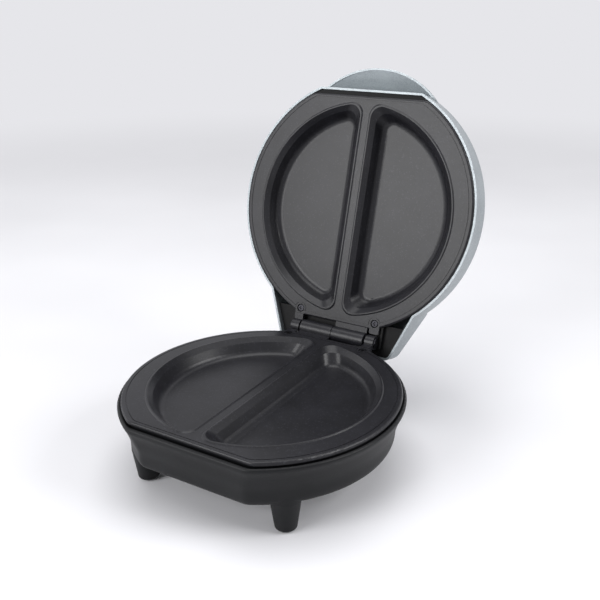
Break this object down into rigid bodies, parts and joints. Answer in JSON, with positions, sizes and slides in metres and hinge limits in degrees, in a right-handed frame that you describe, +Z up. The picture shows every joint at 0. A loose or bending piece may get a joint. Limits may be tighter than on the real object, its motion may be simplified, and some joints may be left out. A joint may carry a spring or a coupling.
{
  "type": "electric omelette maker",
  "caption": "Countertop omelette cooker with a round flat-fronted base on short legs, hinged silver lid with a visor handle, and half-moon pockets in both plates.",
  "frame": {"origin": "on the table under the middle of the open cooker", "axes": "+Z up, -Y towards the flat front and the visor handle side of the base, +X to the right seen from the front"},
  "size_m": [0.2224, 0.3016, 0.2851],
  "materials": {
    "base_plastic": "satin black moulding",
    "liner_plastic": "matte black moulding",
    "rubber": "matte",
    "bush_rubber": "matte",
    "cover_paint": "silver metallic lacquer on ABS, satin",
    "nonstick_casting": "satin dark grey non-stick coat on die-cast aluminium",
    "heater_steel": "dull tube",
    "shield_metal": "mill finish",
    "plated_steel": "plated",
    "inner_plastic": "heat-resistant moulding",
    "wire_sleeve": "woven sleeve",
    "lamp_glass": "clear",
    "red_lens": "gloss",
    "green_lens": "gloss"
  },
  "bodies": {
    "base": {"base_housing": "base_plastic", "base_wiring": "wire_sleeve", "bottom_cover": "base_plastic", "bottom_cover_screws": "plated_steel", "cord_bush": "bush_rubber", "cord_clamp": "inner_plastic", "cord_clamp_screws": "plated_steel", "foot_front_left": "base_plastic", "foot_front_right": "base_plastic", "foot_pads": "rubber", "foot_rear_left": "base_plastic", "foot_rear_right": "base_plastic", "foot_screws": "plated_steel", "hinge_pin": "plated_steel", "hinge_pin_clips": "plated_steel", "lower_control_bracket": "plated_steel", "lower_control_screws": "plated_steel", "lower_element_pins": "plated_steel", "lower_element_straps": "plated_steel", "lower_heat_shield": "shield_metal", "lower_heating_element": "heater_steel", "lower_plate": "nonstick_casting", "lower_plate_screws": "plated_steel", "lower_shield_screws": "plated_steel", "terminal_block": "inner_plastic", "thermostat": "inner_plastic"},
    "lid": {"lamp_tray": "inner_plastic", "lamps": "lamp_glass", "lid_cover": "cover_paint", "lid_liner": "liner_plastic", "lid_wiring": "wire_sleeve", "liner_screws": "plated_steel", "power_lens": "red_lens", "ready_lens": "green_lens", "thermal_cutout": "inner_plastic", "upper_control_bracket": "plated_steel", "upper_control_screws": "plated_steel", "upper_element_pins": "plated_steel", "upper_element_straps": "plated_steel", "upper_heat_shield": "shield_metal", "upper_heating_element": "heater_steel", "upper_plate": "nonstick_casting", "upper_plate_screws": "plated_steel", "upper_shield_screws": "plated_steel"}
  },
  "joints": [
    {"name": "lid_hinge", "type": "hinge", "parent": "base", "child": "lid", "pos_m": [0, 0.0608, 0.0657], "axis": [1, 0, 0], "range_deg": [0, 106.3]}
  ]
}
